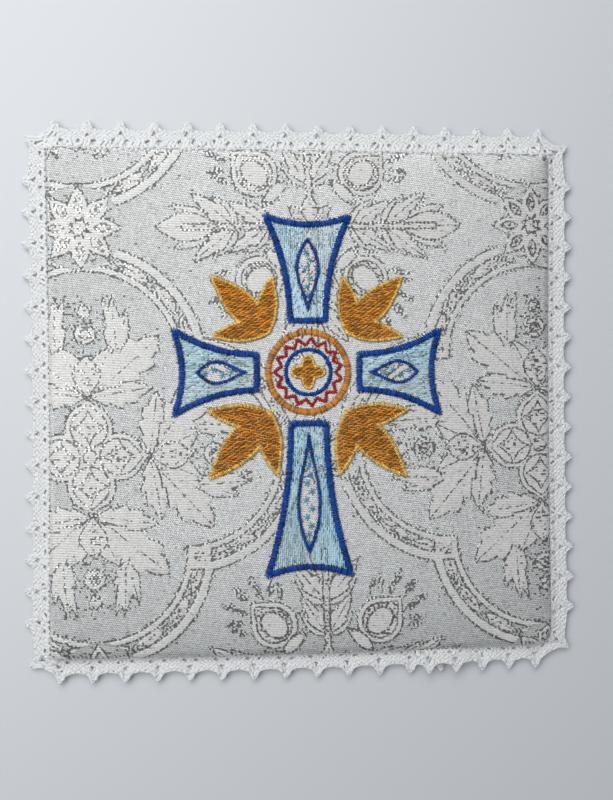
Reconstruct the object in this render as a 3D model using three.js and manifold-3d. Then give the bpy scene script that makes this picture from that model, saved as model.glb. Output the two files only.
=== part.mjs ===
// A chalice pall: the stiffened square of cloth that is laid over a chalice.
// It is a brocade pad with a cotton lace edging sewn round its rim and a cross worked on it in thread.
// Units are millimetres and +Z is up. The pall lies face up on the plane z = 0. The origin is the middle of
// its underside, and +Y points to the head of the cross.

import * as THREE from "three";
import { mergeVertices } from "three/addons/utils/BufferGeometryUtils.js";
import Module from "manifold-3d";

const wasm = await Module();
wasm.setup();

// Pad: a stiff board in a padded cover, with a rolled rim and a low crown
const PAD_SIDE = 160;
const HALF_SIDE = PAD_SIDE / 2;
const WIDEST_HEIGHT = 1.8;
const SHOULDER_HEIGHT = 3.5;
const TOP_HEIGHT = 4.1;
const UNDERSIDE_TUCK = 2.2;
const SHOULDER_ROLL = 2.6;
const CROWN_FADE = 7;
const PARALLEL_INSET = 1.4;
const EDGE_STEPS = 12;
const CORNER_STEPS = 5;
const ROLL_STEPS = 4;
const TOP_INSETS = [4.5, 8, 13, 21, 40];
const UNDERSIDE_INSET = 40;

// Pad edges in the order in which the lace runs round them, clockwise from above.
// bow: how far the middle of the edge swells, or draws in where it is negative
// corner: radius of the corner at the end of the edge
// seam, hem: heights of the lace's underside at the pad and at its outer edge
const EDGES = [
  { name: "front", out: [0, -1], bow: 0.6, corner: 3.0, seam: 0.4, hem: 0.0 },
  { name: "left", out: [-1, 0], bow: -0.6, corner: 2.5, seam: 1.0, hem: 0.2 },
  { name: "back", out: [0, 1], bow: 0.1, corner: 3.0, seam: 1.6, hem: 0.7 },
  { name: "right", out: [1, 0], bow: -0.5, corner: 5.0, seam: 0.8, hem: 0.1 },
];

// Lace: one strip of scalloped edging whose ends overlap on the front edge
const GAP = 0.35;
const LACE_THICKNESS = 1.0;
const LACE_WIDTH = 5.9;
const SCALLOP_DEPTH = 1.5;
const SCALLOP_POWER = 1.8;
const PICOT_LENGTH = 1.7;
const PICOT_WIDTH = 1.15;
const PICOT_POWER = 3;
const CORNER_SLACK = 0.35;
const LACE_START_X = 45;
const LACE_FIRST_TIP_X = 33.6;
const LACE_LAST_TIP_X = 39.4;
const LACE_END_X = 36;
const OVERLAP_RAMP = 12;
const RIPPLE_HEIGHT = 0.25;
const RIPPLE_LENGTH = 37;
const SCALLOP_SHARES = [0, 0.05, 0.09, 0.14, 0.24, 0.4, 0.6, 0.76, 0.86, 0.91, 0.95];
const LACE_COLUMNS = [0, 0.5, 1];

// Cross: four flared arms round a roundel, with a spray of leaves between each two arms
const CROSS_X = 1;
const CROSS_Y = 9;
const THREAD_BASE = TOP_HEIGHT + 0.3;
const BORDER_WIDTH = 2.3;
const BORDER_HEIGHT = 0.8;
const FILL_HEIGHT = 0.4;
const LEAF_HEIGHT = 0.7;
const PIECE_CLEARANCE = 1.0;
const ARM_ROOT = 16.2;
const ARM_NECK = 5.6;
const ARM_FLARE = 13.2;
const FLARE_POWER = 2.1;
const ARM_END_HOLLOW = 2.6;
const ARM_STEPS = 9;
const ARMS = [
  { name: "head", degrees: 90, length: 49 },
  { name: "right", degrees: 0, length: 42 },
  { name: "foot", degrees: -90, length: 64 },
  { name: "left", degrees: 180, length: 42 },
];
const RING_RADIUS = 12.6;
const FLOWER_RADIUS = 5.2;
const FLOWER_LOBING = 0.24;
const ROUND_STEPS = 48;
const LEAF_STEPS = 10;
const SPRAY_ROOT = 17.5;
const SPRAYS = [
  { name: "upper_right", degrees: 45, scale: 1.0 },
  { name: "lower_right", degrees: -47, scale: 1.12 },
  { name: "lower_left", degrees: 227, scale: 1.12 },
  { name: "upper_left", degrees: 135, scale: 1.0 },
];
// Leaves of a spray: turn from the spray's axis, length, half width, and sideways bend at the tip
const SPRAY_LEAVES = [
  { turn: 0, length: 25, halfWidth: 4.2, bend: 0 },
  { turn: 33, length: 17, halfWidth: 3.2, bend: 5 },
  { turn: -33, length: 17, halfWidth: 3.2, bend: -5 },
];

const COLOURS = {
  brocade: { color: 0xd2d3d3, roughness: 0.45, metalness: 0.25 },
  lace: { color: 0xeceeee, roughness: 0.9, metalness: 0 },
  royal: { color: 0x14339b, roughness: 0.45, metalness: 0 },
  pale: { color: 0xa9cbd8, roughness: 0.5, metalness: 0 },
  gold: { color: 0xc98a2b, roughness: 0.4, metalness: 0.2 },
};

function radians(degrees) {
  return (degrees * Math.PI) / 180;
}

function mix(a, b, share) {
  return a + (b - a) * share;
}

function smooth(share) {
  const s = Math.min(1, Math.max(0, share));
  return s * s * (3 - 2 * s);
}

// Evenly spaced values from first to last, both included.
function spread(first, last, count) {
  return Array.from({ length: count }, (_, i) => mix(first, last, i / (count - 1)));
}

// A named mesh of one of the pall's finishes.
function piece(name, geometry, finish) {
  const mesh = new THREE.Mesh(geometry, new THREE.MeshStandardMaterial(COLOURS[finish]));
  mesh.name = name;
  return mesh;
}

// A geometry from points and triangles that index them.
function faceted(points, triangles) {
  const geometry = new THREE.BufferGeometry();
  geometry.setAttribute("position", new THREE.Float32BufferAttribute(points.flat(), 3));
  geometry.setIndex(triangles.flat());
  return geometry;
}

// The pad's outline at its widest: each straight edge, with its bow, and the round corner after it.
function outlinePieces() {
  const pieces = [];
  let start = 0;
  EDGES.forEach((edge, i) => {
    const before = EDGES[(i + EDGES.length - 1) % EDGES.length];
    const next = EDGES[(i + 1) % EDGES.length];
    const out = new THREE.Vector2(...edge.out);
    const along = new THREE.Vector2(out.y, -out.x);
    const straight = PAD_SIDE - before.corner - edge.corner;
    const from = out.clone().multiplyScalar(HALF_SIDE).addScaledVector(along, before.corner - HALF_SIDE);
    pieces.push({ edge, next: edge, start, length: straight, out, along, from });
    start += straight;
    const arc = (edge.corner * Math.PI) / 2;
    const centre = new THREE.Vector2(...next.out).add(out).multiplyScalar(HALF_SIDE - edge.corner);
    pieces.push({ edge, next, start, length: arc, out, along, centre });
    start += arc;
  });
  return pieces;
}

const OUTLINE = outlinePieces();
const OUTLINE_LENGTH = OUTLINE.at(-1).start + OUTLINE.at(-1).length;

// The place at a distance along the outline: its point, its outward direction and its edges' shares.
function outlineAt(distance) {
  const wrapped = ((distance % OUTLINE_LENGTH) + OUTLINE_LENGTH) % OUTLINE_LENGTH;
  const found = OUTLINE.findLast((p) => p.start <= wrapped);
  const share = (wrapped - found.start) / found.length;
  if (found.centre) {
    const turn = (share * Math.PI) / 2;
    const out = found.out.clone().multiplyScalar(Math.cos(turn)).addScaledVector(found.along, Math.sin(turn));
    return { point: found.centre.clone().addScaledVector(out, found.edge.corner), out, found, share };
  }
  const bow = (found.edge.bow * (1 - Math.cos(2 * Math.PI * share))) / 2;
  const point = found.from.clone().addScaledVector(found.along, share * found.length);
  return { point: point.addScaledVector(found.out, bow), out: found.out, found, share };
}

// Distances along the outline at which the pad's surface has its points.
function padStations() {
  return OUTLINE.flatMap((p) => {
    const steps = p.centre ? CORNER_STEPS : EDGE_STEPS;
    return Array.from({ length: steps }, (_, i) => p.start + (p.length * i) / steps);
  });
}

// Section of the pad from the underside up: how far each ring lies inside the outline, and its height.
function padSection() {
  const quarter = spread(0, Math.PI / 2, ROLL_STEPS + 1);
  const tuck = quarter.map((a) => ({
    inset: UNDERSIDE_TUCK * (1 - Math.sin(a)),
    z: WIDEST_HEIGHT * (1 - Math.cos(a)),
  }));
  const shoulder = quarter.slice(1).map((a) => ({
    inset: SHOULDER_ROLL * (1 - Math.cos(a)),
    z: mix(WIDEST_HEIGHT, SHOULDER_HEIGHT, Math.sin(a)),
  }));
  const crown = TOP_INSETS.map((inset) => ({
    inset,
    z: mix(TOP_HEIGHT, SHOULDER_HEIGHT, Math.exp((SHOULDER_ROLL - inset) / CROWN_FADE)),
  }));
  return [{ inset: UNDERSIDE_INSET, z: 0 }, ...tuck, ...shoulder, ...crown];
}

// A closed skin through rings of equal size, ended by a fan to a point below and above.
function ringSkin(rings, low, high) {
  const size = rings[0].length;
  const points = [...rings.flat(), low, high];
  const lowIndex = rings.length * size;
  const triangles = [];
  for (let i = 0; i < size; i++) {
    const j = (i + 1) % size;
    triangles.push([lowIndex, i, j]);
    for (let r = 0; r + 1 < rings.length; r++) {
      const [a, b, c, d] = [r * size + i, r * size + j, (r + 1) * size + j, (r + 1) * size + i];
      triangles.push([a, d, b], [b, d, c]);
    }
    const top = (rings.length - 1) * size;
    triangles.push([lowIndex + 1, top + j, top + i]);
  }
  return faceted(points, triangles);
}

// The pad. A ring keeps parallel to the outline near the rim and shrinks towards the middle further in.
function makeCover() {
  const places = padStations().map(outlineAt);
  const rings = padSection().map(({ inset, z }) => {
    const parallel = Math.min(inset, PARALLEL_INSET);
    const shrink = 1 - (inset - parallel) / HALF_SIDE;
    return places.map(({ point, out }) => {
      const p = point.clone().addScaledVector(out, -parallel).multiplyScalar(shrink);
      return [p.x, p.y, z];
    });
  });
  return piece("cover", ringSkin(rings, [0, 0, 0], [0, 0, TOP_HEIGHT]), "brocade");
}

// Distance along the outline of a place on the front edge.
function frontDistance(x) {
  return OUTLINE[0].from.x - x;
}

// Distances along the outline of the lace's points, one run for each edge and two for the joined one.
// The side runs reach a third of the way round the corners, so that one scallop turns each corner.
function laceTips() {
  const [front, , left, , back, , right] = OUTLINE;
  const end = (p) => p.start + p.length;
  const third = (p) => OUTLINE[OUTLINE.indexOf(p) + 1].length / 3;
  const cornerBefore = (p) => OUTLINE[OUTLINE.indexOf(p) - 1].length / 3;
  const runs = [
    { from: frontDistance(LACE_FIRST_TIP_X), to: end(front), tips: 12 },
    { from: left.start - cornerBefore(left), to: end(left) + third(left), tips: 17 },
    { from: back.start, to: end(back), tips: 16 },
    { from: right.start - cornerBefore(right), to: end(right) + third(right), tips: 17 },
    { from: OUTLINE_LENGTH, to: OUTLINE_LENGTH + frontDistance(LACE_LAST_TIP_X), tips: 5 },
  ];
  return runs.flatMap(({ from, to, tips }) => spread(from, to, tips));
}

// The point of the lace's tip base, before its picot, at a distance along the outline.
function tipBase(distance) {
  const { point, out } = outlineAt(distance);
  return point.clone().addScaledVector(out, LACE_WIDTH);
}

// Height of the lace's underside at a distance along the outline, for a share of its width from the seam.
function laceHeight(distance, across) {
  const { found, share } = outlineAt(distance);
  const turned = smooth(share);
  const seam = mix(found.edge.seam, found.next.seam, turned);
  const hem = mix(found.edge.hem, found.next.hem, turned);
  const phase = (2 * Math.PI * (distance % OUTLINE_LENGTH)) / RIPPLE_LENGTH;
  const ripple = (RIPPLE_HEIGHT * (1 - Math.cos(phase)) * across) / 2;
  const overlap = OUTLINE_LENGTH + frontDistance(LACE_START_X);
  const lifted = smooth((distance - overlap + OVERLAP_RAMP) / (OVERLAP_RAMP - 1));
  return mix(seam, hem, across) + ripple + lifted * (LACE_THICKNESS + GAP);
}

// One row of lace points from the seam to the outer edge, as distances from the two tips give it.
function laceRow(before, after, share) {
  const distance = mix(before, after, share);
  const { point, out } = outlineAt(distance);
  const seam = point.clone().addScaledVector(out, GAP);
  const [a, b] = [tipBase(before), tipBase(after)];
  const turning = outlineAt(before).out.dot(outlineAt(after).out) < 0.9;
  const depth = SCALLOP_DEPTH * (turning ? CORNER_SLACK : 1);
  const hollow = depth * (1 - Math.abs(2 * share - 1) ** SCALLOP_POWER);
  const fromTip = Math.min(share, 1 - share) * a.distanceTo(b);
  const picot = PICOT_LENGTH * Math.exp(-((fromTip / PICOT_WIDTH) ** PICOT_POWER));
  const edge = a.lerp(b, share).addScaledVector(out, picot - hollow);
  return LACE_COLUMNS.map((across) => {
    const p = seam.clone().lerp(edge, across);
    return [p.x, p.y, laceHeight(distance, across)];
  });
}

// A strip with thickness through rows of points, closed at its ends and sides.
function stripSkin(rows, thickness) {
  const columns = rows[0].length;
  const raised = ([x, y, z]) => [x, y, z + thickness];
  const loops = rows.map((row) => [...row, ...row.map(raised).reverse()]);
  const size = 2 * columns;
  const triangles = [];
  for (let r = 0; r + 1 < loops.length; r++) {
    for (let i = 0; i < size; i++) {
      const j = (i + 1) % size;
      const [a, b, c, d] = [r * size + i, r * size + j, (r + 1) * size + j, (r + 1) * size + i];
      triangles.push([a, b, d], [b, c, d]);
    }
  }
  const last = (loops.length - 1) * size;
  for (let i = 0; i + 1 < columns; i++) {
    const j = size - 1 - i;
    triangles.push([i, j, i + 1], [i + 1, j, j - 1]);
    triangles.push([last + i, last + i + 1, last + j], [last + i + 1, last + j - 1, last + j]);
  }
  return faceted(loops.flat(), triangles);
}

// The lace edging, from its hidden end under the overlap, clockwise round the pad, to the end on top.
function makeLace() {
  const start = frontDistance(LACE_START_X);
  const end = OUTLINE_LENGTH + frontDistance(LACE_END_X);
  const tips = laceTips();
  const marks = [2 * tips[0] - tips[1], ...tips, 2 * tips.at(-1) - tips.at(-2)];
  const rows = [];
  for (let k = 0; k + 1 < marks.length; k++) {
    for (const share of SCALLOP_SHARES) {
      const distance = mix(marks[k], marks[k + 1], share);
      if (distance >= start && distance <= end) rows.push(laceRow(marks[k], marks[k + 1], share));
    }
  }
  return piece("lace_edging", stripSkin(rows, LACE_THICKNESS), "lace");
}

// Outline of a cross arm in its own frame, X along the arm, grown on every side by an amount.
function armContour(length, grow) {
  const root = ARM_ROOT - grow;
  const tip = length + grow;
  const halfWidth = (x) => {
    const share = Math.max(0, (x - ARM_ROOT) / (length - ARM_ROOT));
    return mix(ARM_NECK, ARM_FLARE, share ** FLARE_POWER) + grow;
  };
  const half = spread(root, tip, ARM_STEPS).map((x) => new THREE.Vector2(x, halfWidth(x)));
  const rim = halfWidth(tip);
  const end = spread(rim, -rim, ARM_STEPS).map((y) => {
    const hollow = ARM_END_HOLLOW * (1 - (y / rim) ** 2);
    return new THREE.Vector2(tip - hollow, y);
  });
  const mirrored = half.map(({ x, y }) => new THREE.Vector2(x, -y)).reverse();
  return [...half, ...end.slice(1, -1), ...mirrored].reverse();
}

// A thread-covered shape raised from the cloth, with softened edges.
function raised(shape, height) {
  const soft = Math.min(0.25, height / 3);
  const geometry = new THREE.ExtrudeGeometry(shape, {
    depth: height - 2 * soft,
    bevelThickness: soft,
    bevelSize: soft,
    bevelOffset: -soft,
    bevelSegments: 1,
    steps: 1,
  });
  return geometry.translate(0, 0, soft);
}

// The four arms: a satin stitched border round each, and the open stitched field inside it.
function makeArms() {
  return ARMS.map(({ name, degrees, length }) => {
    const border = new THREE.Shape(armContour(length, BORDER_WIDTH / 2));
    border.holes.push(new THREE.Path(armContour(length, -BORDER_WIDTH / 2)));
    const field = new THREE.Shape(armContour(length, -BORDER_WIDTH / 2 - PIECE_CLEARANCE));
    const arm = new THREE.Group();
    arm.rotation.z = radians(degrees);
    arm.add(piece(`arm_border_${name}`, raised(border, BORDER_HEIGHT), "royal"));
    arm.add(piece(`arm_field_${name}`, raised(field, FILL_HEIGHT), "pale"));
    return arm;
  });
}

// The roundel: a gold ring with a four-lobed flower in the middle.
function makeRoundel() {
  const ring = new THREE.Shape().absarc(0, 0, RING_RADIUS + BORDER_WIDTH / 2, 0, 2 * Math.PI);
  ring.holes.push(new THREE.Path().absarc(0, 0, RING_RADIUS - BORDER_WIDTH / 2, 0, 2 * Math.PI, true));
  const petals = spread(0, 2 * Math.PI, ROUND_STEPS + 1).slice(0, -1).map((a) => {
    const radius = FLOWER_RADIUS * (1 - FLOWER_LOBING + FLOWER_LOBING * Math.cos(4 * a));
    return new THREE.Vector2(radius * Math.cos(a), radius * Math.sin(a));
  });
  return [
    piece("roundel_ring", raised(ring, BORDER_HEIGHT), "gold"),
    piece("roundel_flower", raised(new THREE.Shape(petals), LEAF_HEIGHT), "gold"),
  ];
}

// Outline of a pointed leaf along +X that bends sideways towards its tip.
function leafContour({ length, halfWidth, bend }) {
  const side = (sign) =>
    spread(0, 1, LEAF_STEPS).map((s) => {
      const width = sign * halfWidth * Math.sin(Math.PI * s ** 0.85);
      return new THREE.Vector2(length * s, bend * s * s + width);
    });
  return [...side(-1), ...side(1).reverse().slice(1, -1)];
}

// A closed geometry as a solid that can be joined to others.
function solidOf(geometry) {
  const bare = geometry.clone().deleteAttribute("normal").deleteAttribute("uv");
  const merged = mergeVertices(bare, 1e-4);
  return new wasm.Manifold(
    new wasm.Mesh({
      numProp: 3,
      vertProperties: merged.attributes.position.array,
      triVerts: new Uint32Array(merged.index.array),
    }),
  );
}

// The faces of a joined solid as a geometry.
function geometryOf(solid) {
  const { vertProperties, triVerts } = solid.getMesh();
  const geometry = new THREE.BufferGeometry();
  geometry.setAttribute("position", new THREE.BufferAttribute(vertProperties, 3));
  geometry.setIndex(new THREE.BufferAttribute(triVerts, 1));
  return geometry;
}

// A spray of three leaves that grow from one root, joined into one raised piece.
function makeSpray({ name, degrees, scale }) {
  const leaves = SPRAY_LEAVES.map((leaf) => {
    const shape = new THREE.Shape(leafContour(leaf));
    const geometry = raised(shape, LEAF_HEIGHT).rotateZ(radians(leaf.turn)).scale(scale, scale, 1);
    return solidOf(geometry);
  });
  const joined = leaves.reduce((whole, leaf) => whole.add(leaf));
  const spray = piece(`leaf_spray_${name}`, geometryOf(joined), "gold");
  const direction = radians(degrees);
  spray.rotation.z = direction;
  spray.position.set(SPRAY_ROOT * Math.cos(direction), SPRAY_ROOT * Math.sin(direction), 0);
  return spray;
}

function makeCross() {
  const cross = new THREE.Group();
  cross.position.set(CROSS_X, CROSS_Y, THREAD_BASE);
  cross.add(...makeArms(), ...makeRoundel(), ...SPRAYS.map(makeSpray));
  return cross;
}

const pall = new THREE.Group();
pall.add(makeCover(), makeLace(), makeCross());

export default pall;
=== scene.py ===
import math

import bpy
import numpy as np
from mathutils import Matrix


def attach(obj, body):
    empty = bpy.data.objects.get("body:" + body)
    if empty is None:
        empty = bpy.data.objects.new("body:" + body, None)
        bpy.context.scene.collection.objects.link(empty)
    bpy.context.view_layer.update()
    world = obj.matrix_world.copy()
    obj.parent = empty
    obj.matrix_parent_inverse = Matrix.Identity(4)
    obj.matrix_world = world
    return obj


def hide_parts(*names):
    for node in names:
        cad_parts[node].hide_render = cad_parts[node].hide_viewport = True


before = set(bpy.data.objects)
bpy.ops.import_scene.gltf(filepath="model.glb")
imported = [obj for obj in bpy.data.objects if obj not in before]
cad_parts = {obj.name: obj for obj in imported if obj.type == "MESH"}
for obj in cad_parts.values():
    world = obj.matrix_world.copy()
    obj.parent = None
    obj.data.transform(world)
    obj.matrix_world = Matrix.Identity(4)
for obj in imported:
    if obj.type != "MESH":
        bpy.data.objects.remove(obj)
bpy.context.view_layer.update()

# BROCADE COVER
# A square of silver and white figured brocade, drawn tight over a stiffened and lightly padded board and
# closed underneath. White weft floats make the figure, on a fine satin ground, and short silver metal
# floats outline it. The figure is a net of four-lobed medallions with a rosette where they touch.
MM = 0.001
HALF_SIDE = 80.0
WIDEST_Z, SHOULDER_Z, TOP_Z = 1.8, 3.5, 4.1
TUCK, ROLL, CROWN_FADE = 2.2, 2.6, 7.0
TOP_POINTS, ROLL_POINTS = 160, 25
CORNER_RADII = {(-1, -1): 3.0, (-1, 1): 2.5, (1, 1): 3.0, (1, -1): 5.0}
SQUARE_WITHIN, ROUND_BEYOND = HALF_SIDE - 12.0, HALF_SIDE + 1.0
BOW_FRONT, BOW_LEFT, BOW_BACK, BOW_RIGHT = 0.6, -0.6, 0.1, -0.5
COVER_CELLS = 308
UNDERSIDE_RINGS = (0.92, 0.7, 0.35)
RELIEF_WITHIN, FLAT_BEYOND = HALF_SIDE - 3.0, HALF_SIDE + 2.0
FIGURE_RELIEF, PAD_RELIEF = 0.10, 0.05
PAD_WAVE_X, PAD_WAVE_Y, PAD_WAVE_SHIFT = 19.0, 23.0, 0.8


def smooth(low, high, x):
    """0 below low and 1 above high, with an S curve between."""
    share = np.clip((x - low) / (high - low), 0.0, 1.0)
    return share * share * (3.0 - 2.0 * share)


def add_object(name, data):
    """A new object with this data, in the scene."""
    made = bpy.data.objects.new(name, data)
    bpy.context.scene.collection.objects.link(made)
    return made


def add_mesh(name, points, faces, **attributes):
    """A smooth-shaded object from points in millimetres, faces, and one value a point for each attribute."""
    mesh = bpy.data.meshes.new(name)
    mesh.from_pydata((np.asarray(points) * MM).tolist(), [], faces)
    mesh.shade_smooth()
    for key, values in attributes.items():
        layer = mesh.attributes.new(key, "FLOAT", "POINT")
        layer.data.foreach_set("value", np.asarray(values, np.float32))
    return add_object(name, mesh)


class Shade:
    """A socket in a material. Operators add maths nodes, and node() adds a node of any other kind."""

    def __init__(self, tree, socket=None):
        self.tree, self.socket = tree, socket

    def connect(self, node, sockets):
        """Fills sockets of a node with values or links."""
        for key, value in sockets.items():
            if isinstance(value, Shade):
                self.tree.links.new(value.socket, node.inputs[key])
            else:
                node.inputs[key].default_value = value

    def surface(self, **sockets):
        """Fills sockets of the material's surface shader."""
        named = {key.replace("_", " "): value for key, value in sockets.items()}
        self.connect(self.tree.nodes["Principled BSDF"], named)

    def node(self, kind, inputs=(), output=0, **settings):
        """Adds a node with these settings, fills its sockets, and gives one output."""
        made = self.tree.nodes.new(kind)
        for key, value in settings.items():
            setattr(made, key, value)
        self.connect(made, dict(inputs))
        return Shade(self.tree, made.outputs[output])

    def maths(self, operation, *values):
        return self.node("ShaderNodeMath", dict(enumerate(values)), operation=operation)

    def __add__(self, other):
        return self.maths("ADD", self, other)

    def __mul__(self, other):
        return self.maths("MULTIPLY", self, other)

    __radd__, __rmul__ = __add__, __mul__

    def __sub__(self, other):
        return self.maths("SUBTRACT", self, other)

    def __rsub__(self, other):
        return self.maths("SUBTRACT", other, self)

    def __truediv__(self, other):
        return self.maths("DIVIDE", self, other)

    def __rtruediv__(self, other):
        return self.maths("DIVIDE", other, self)

    def __lt__(self, other):
        return self.maths("LESS_THAN", self, other)

    def __abs__(self):
        return self.maths("ABSOLUTE", self)

    def larger(self, other):
        return self.maths("MAXIMUM", self, other)

    def wave(self):
        """A cosine of one turn per unit, from 0 to 1."""
        return self.maths("COSINE", self * (2.0 * math.pi)) * 0.5 + 0.5

    def rise(self, low, high):
        """The S curve of smooth()."""
        sockets = {"Value": self, "From Min": low, "From Max": high}
        return self.node("ShaderNodeMapRange", sockets, interpolation_type="SMOOTHSTEP")

    def mix(self, first, second):
        """From the first colour at 0 to the second at 1."""
        return self.node("ShaderNodeMix", {0: self, 6: first, 7: second}, 2, data_type="RGBA")

    def blend(self, first, second):
        """From the first number at 0 to the second at 1."""
        return self.node("ShaderNodeMix", {0: self, 2: first, 3: second}, 0, data_type="FLOAT")

    def attribute(self, name):
        return self.node("ShaderNodeAttribute", output=2, attribute_name=name)

    def place(self):
        """X, Y and Z of the point on the object, in millimetres."""
        spot = self.node("ShaderNodeTexCoord", output=3)
        parts = [self.node("ShaderNodeSeparateXYZ", {0: spot}, axis) for axis in range(3)]
        return [part * (1.0 / MM) for part in parts]

    def vector(self, x, y, z=0.0):
        return self.node("ShaderNodeCombineXYZ", {0: x, 1: y, 2: z})

    def noise(self, place, scale, detail=2.0):
        sockets = {"Vector": self.vector(*place), "Scale": scale, "Detail": detail}
        return self.node("ShaderNodeTexNoise", sockets)

    def cell(self, x, y, length, pitch):
        """Column and row of the cell at a place, in rows of cells shifted at random by up to 7 lengths."""
        row = self.maths("FLOOR", y / pitch)
        shift = self.node("ShaderNodeTexWhiteNoise", {"W": row}, noise_dimensions="1D")
        return self.maths("FLOOR", x / length + 7.0 * shift), row

    def cells(self, x, y, length, pitch):
        """A random value for each cell."""
        spot = self.vector(*self.cell(x, y, length, pitch))
        return self.node("ShaderNodeTexWhiteNoise", {"Vector": spot}, noise_dimensions="2D")

    def bump(self, height, strength, distance):
        sockets = {"Height": height, "Strength": strength, "Distance": distance * MM}
        return self.node("ShaderNodeBump", sockets)


def new_material(name, **constants):
    """A material with the constants of its surface set, and a Shade to build the rest with."""
    material = bpy.data.materials.new(name)
    material.use_nodes = True
    shade = Shade(material.node_tree)
    shade.surface(**constants)
    return material, shade


LEAF_POWER, TOOTH_LOW, TOOTH_GROWTH = 0.85, 0.68, 0.45


def forward_and_side(x, y, turn):
    """Distances along and across a direction turned from the first axis."""
    cosine, sine = math.cos(math.radians(turn)), math.sin(math.radians(turn))
    return x * cosine + y * sine, y * cosine - x * sine


def leaf(along, across, root, turn, length, half, bend=0.0, power=LEAF_POWER, teeth=0):
    """Depth in millimetres inside a pointed leaf, and the distance from its middle line. Half its width is
    half * sin(pi * s ** power) at the share s of its length, about a line that leaves its axis by
    bend * s * s. Teeth make it grow and step back along each side."""
    forward, side = forward_and_side(along - root[0], across - root[1], turn)
    share = np.clip(forward / length, 0.0, 1.0)
    width = half * np.sin(np.pi * share ** power)
    if teeth:
        width = width * (TOOTH_LOW + TOOTH_GROWTH * ((teeth * share) % 1.0))
    side = side - bend * share * share
    return np.minimum(width - np.abs(side), np.minimum(forward, length - forward)), side


def oval(along, across, centre, radii, turn=0.0):
    """Depth in millimetres inside an ellipse, close to exact near its edge."""
    forward, side = forward_and_side(along - centre[0], across - centre[1], turn)
    return (1.0 - np.hypot(forward / radii[0], side / radii[1])) * min(radii)


REPEAT, REPEAT_Y = 71.6, 70.8
REPEAT_MIDDLE = (2.0, 54.9)
REPEAT_SLANT, REPEAT_RISE = 0.036, 0.015
LAYERS = ("back", "middle", "front")
NO_SHAPE, NO_VEIN = -3.0, 9.0
PLAIN = dict.fromkeys(LAYERS, NO_SHAPE) | {"silver": 0.0, "vein": NO_VEIN}
GROUND_SPECKS, SPECKLED_SPECKS, FERN_SPECKS, BAND_SPECKS, ROSETTE_SPECKS = 0.005, 0.18, 0.85, 0.10, 0.02
# Tables of leaves: layer, share of silver inside, root, turn, length, half width, bend, power, teeth.
PALMETTE_LEAVES = (
    ("back", 0.0, (18.5, 1.0), 79.0, 19.0, 4.4, 0.8, 0.95, 4),
    ("back", 0.03, (22.0, 6.5), 32.0, 23.0, 3.4, -15.0, 1.1, 3),
    ("back", 0.03, (31.0, 9.5), 14.0, 15.0, 2.1),
    ("back", 0.03, (32.0, 9.5), 0.0, 17.2, 2.3, -0.8),
    ("middle", 0.0, (20.5, 3.5), 49.0, 25.5, 5.8, 0.0, 1.25, 4),
    ("middle", 0.0, (19.0, 0.8), 21.0, 16.5, 3.5, 1.0, 1.25),
    ("front", 0.14, (18.8, 0.0), 0.0, 12.7, 4.0, 0.0, 1.15),
)
SPRIG_LEAVES = (
    ("back", 0.0, (13.0, 0.4), 52.0, 10.5, 2.0, -0.6),
    ("middle", 0.0, (13.5, 0.4), 34.0, 14.0, 2.3, -0.6, LEAF_POWER, 2),
    ("back", 0.0, (23.0, 0.4), 55.0, 11.5, 2.2, -0.8),
    ("middle", 0.0, (24.0, 0.4), 41.0, 16.0, 2.6, -0.8, LEAF_POWER, 2),
    ("back", 0.0, (30.0, 0.5), 28.0, 14.0, 2.2, -0.4),
    ("middle", 0.0, (28.0, 0.0), 0.0, 20.0, 4.4, 0.0, 1.1),
    ("front", 0.1, (1.2, 0.0), 0.0, 8.8, 2.4),
    ("middle", 0.1, (1.0, 1.0), 45.0, 7.5, 1.8),
)
ROSETTE_PETALS = (
    ("back", 0.0, (2.4, 0.0), 0.0, 10.2, 2.7),
    ("middle", 0.5, (5.0, 0.0), 0.0, 5.0, 1.0),
)
FERN_LEAVES = (
    # root, turn, length, half width
    ((25.0, 14.0), 14.0, 6.5, 1.15),
    ((25.5, 18.0), -8.0, 7.0, 1.15),
    ((24.6, 20.0), 26.0, 6.5, 1.15),
    ((25.0, 24.6), 45.0, 6.5, 1.15),
    ((28.5, 22.5), 20.0, 5.0, 1.15),
)
BERRIES = (
    # layer, share of silver inside, centre, radii
    ("middle", 0.25, (38.4, 0.0), (2.9, 3.1)),
    ("front", 0.5, (38.4, 0.0), (1.2, 1.3)),
    ("middle", 0.3, (45.4, 0.0), (1.7, 1.6)),
)
# Single leaves, as root, turn, length, half width, bend and power, and ovals, as centre, radii and turn.
BUD_LEAF = (22.0, 0.0), 0.0, 7.0, 1.7
SCROLL_LEAF = (0.3, 0.2), -9.0, 12.4, 1.7, 0.9, 1.2
PETAL_TIP = (6.0, 0.0), 0.0, 11.8, 5.6
POD_TIP = (16.0, 16.0), 45.0, 11.0, 4.6
SPECKLED_OVAL = (39.0, 0.0), (11.5, 8.0)
PETAL_OVAL = (9.0, 0.0), (7.4, 7.2)
POD_OVAL = (16.8, 16.8), (7.1, 7.1)
SEED_OVAL = (16.8, 16.8), (4.5, 3.3), 45.0
CUP_OVAL = (10.8, 10.8), (1.6, 4.2), 45.0
BEAD_OVAL = (9.6, -1.2), (2.2, 1.1), 20.0
PETAL_RIM, POD_RIM, KNOT_RIM, QUATREFOIL_EYE, ROSETTE_EYE = 1.7, 1.8, 1.3, 1.9, 2.1
STAR_PLACE, STAR_REACH, STAR_POWER = 9.2, 5.4, 0.65
STEM_HALF, STEM_FROM, STEM_TO = 0.7, 9.0, 40.0
LOBE_OFFSET, BAND_INNER, BAND_OUTER = 29.3, 29.0, 37.0
INNER_LINE_HALF, OUTER_LINE_HALF = 0.75, 1.2
SCROLL_STEP, SCROLL_START = 13.0, 10.0
KNOT_PLACE, KNOT_HALF = 32.6, 3.4
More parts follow.
